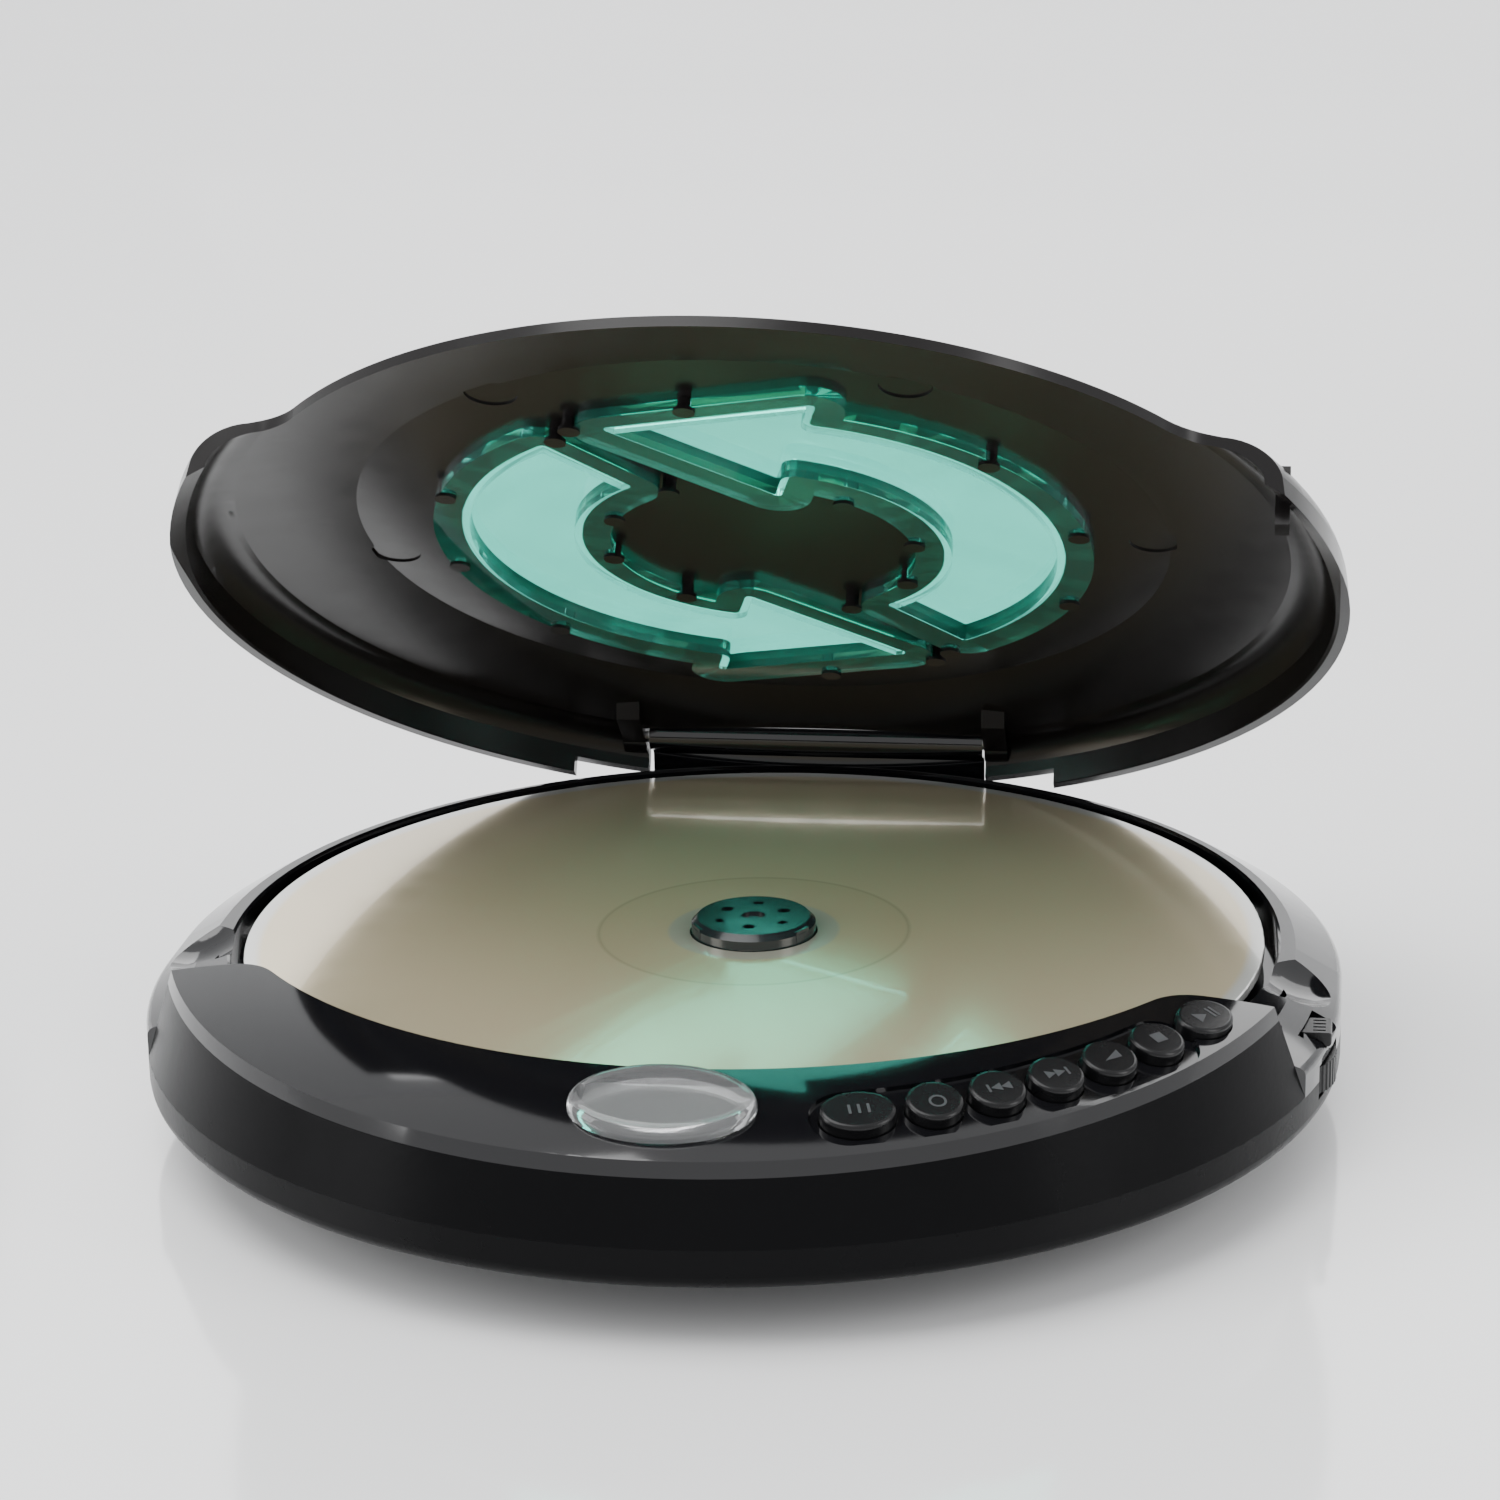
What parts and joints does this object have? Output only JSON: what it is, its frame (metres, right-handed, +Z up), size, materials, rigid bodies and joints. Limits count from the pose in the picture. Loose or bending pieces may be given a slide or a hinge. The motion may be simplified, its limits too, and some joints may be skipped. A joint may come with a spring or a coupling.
{
  "type": "portable cd player",
  "caption": "Round portable disc player with a crescent control panel and a hinged lid with two curved-arrow windows, shown open over its disc.",
  "frame": {"origin": "middle of the flat underside, on the disc axis", "axes": "+Z up along the disc axis, front edge and controls towards -Y, lid hinge towards +Y, volume wheel towards +X"},
  "size_m": [0.138, 0.1455, 0.0985],
  "materials": {
    "lower_case": "satin",
    "upper_case": "gloss",
    "front_wall": "satin",
    "panel": "gloss",
    "clear_lens": "clear",
    "display": "gloss",
    "keys": "satin",
    "lid": "gloss",
    "window": "clear tint",
    "disc": "metallised",
    "hub": "satin",
    "mat": null,
    "steel": null,
    "motor_can": null,
    "chassis": null,
    "board": null,
    "component": null,
    "lens_glass": null,
    "nickel": null,
    "rubber": null
  },
  "bodies": {
    "base": {"bottom_case": "lower_case", "top_case": "upper_case", "front_housing": "front_wall", "control_panel": "panel", "lcd_lens": "clear_lens", "lcd_module": "display", "switch_board": "board", "tact_switches": "component", "hinge_pins": "steel", "spindle_motor": "motor_can", "mech_chassis": "chassis", "guide_rods": "steel", "sled_motor": "motor_can", "dampers": "rubber", "main_board": "board", "board_chips": "component", "board_capacitors": "component", "headphone_jack": "component", "power_jack": "component", "volume_pot": "component", "battery_contacts": "nickel", "battery_springs": "nickel", "case_screws": "steel", "rubber_feet": "rubber"},
    "lid": {"lid_shell": "lid", "arrow_window_front": "window", "arrow_window_rear": "window"},
    "platter": {"turntable": "hub", "turntable_mat": "mat", "clamp_jaws": "hub"},
    "disc": {"disc": "disc"},
    "volume_wheel": {"volume_wheel": "keys"},
    "open_slider": {"open_slider": "keys"},
    "pickup": {"pickup_sled": "chassis", "objective_lens": "lens_glass"},
    "lead_screw": {"lead_screw": "steel"},
    "battery_door": {"battery_door": "lower_case"},
    "button_mode": {"button_mode": "keys"},
    "button_program": {"button_program": "keys"},
    "button_back": {"button_back": "keys"},
    "button_forward": {"button_forward": "keys"},
    "button_bass": {"button_bass": "keys"},
    "button_stop": {"button_stop": "keys"},
    "button_play": {"button_play": "keys"}
  },
  "joints": [
    {"name": "lid_hinge", "type": "hinge", "parent": "base", "child": "lid", "pos_m": [0, 0.0605, 0.021], "axis": [-1, 0, 0], "range_deg": [-38.2, 0]},
    {"name": "disc_spin", "type": "hinge", "parent": "base", "child": "platter", "pos_m": [0, 0, 0.0152], "axis": [0, 0, 1], "continuous": true},
    {"name": "disc_lift", "type": "slide", "parent": "platter", "child": "disc", "axis": [0, 0, 1], "range_m": [0, 0.0024]},
    {"name": "volume_turn", "type": "hinge", "parent": "base", "child": "volume_wheel", "pos_m": [0.0604, -0.0206, 0.0102], "axis": [0, 0, 1], "range_deg": [-140, 140]},
    {"name": "open_slide", "type": "slide", "parent": "base", "child": "open_slider", "axis": [0, 1, 0], "range_m": [0, 0.0012], "stiffness_N_per_m": 300, "springref_m": -0.0003},
    {"name": "pickup_slide", "type": "slide", "parent": "base", "child": "pickup", "axis": [0, 1, 0], "range_m": [0, 0.0295]},
    {"name": "lead_screw_turn", "type": "hinge", "parent": "base", "child": "lead_screw", "pos_m": [0.0206, 0.035, 0.009], "axis": [0, 1, 0], "range_deg": [-30, 3600]},
    {"name": "battery_door_hinge", "type": "hinge", "parent": "base", "child": "battery_door", "pos_m": [0, -0.0267, 0.0007], "axis": [-1, 0, 0], "range_deg": [-90, 0]},
    {"name": "button_mode_press", "type": "slide", "parent": "base", "child": "button_mode", "axis": [-0.0901, 0.2992, -0.9499], "range_m": [0, 0.0005], "stiffness_N_per_m": 800, "springref_m": -0.0002},
    {"name": "button_program_press", "type": "slide", "parent": "base", "child": "button_program", "axis": [-0.1231, 0.2834, -0.9511], "range_m": [0, 0.0005], "stiffness_N_per_m": 800, "springref_m": -0.0002},
    {"name": "button_back_press", "type": "slide", "parent": "base", "child": "button_back", "axis": [-0.1493, 0.2661, -0.9523], "range_m": [0, 0.0005], "stiffness_N_per_m": 800, "springref_m": -0.0002},
    {"name": "button_forward_press", "type": "slide", "parent": "base", "child": "button_forward", "axis": [-0.1729, 0.2456, -0.9538], "range_m": [0, 0.0005], "stiffness_N_per_m": 800, "springref_m": -0.0002},
    {"name": "button_bass_press", "type": "slide", "parent": "base", "child": "button_bass", "axis": [-0.1936, 0.2224, -0.9555], "range_m": [0, 0.0005], "stiffness_N_per_m": 800, "springref_m": -0.0002},
    {"name": "button_stop_press", "type": "slide", "parent": "base", "child": "button_stop", "axis": [-0.211, 0.197, -0.9574], "range_m": [0, 0.0005], "stiffness_N_per_m": 800, "springref_m": -0.0002},
    {"name": "button_play_press", "type": "slide", "parent": "base", "child": "button_play", "axis": [-0.2276, 0.1661, -0.9595], "range_m": [0, 0.0005], "stiffness_N_per_m": 800, "springref_m": -0.0002}
  ],
  "couplings": [
    {"joint": "lead_screw_turn", "follows": "pickup_slide", "rad_per_m": 2094.4}
  ]
}
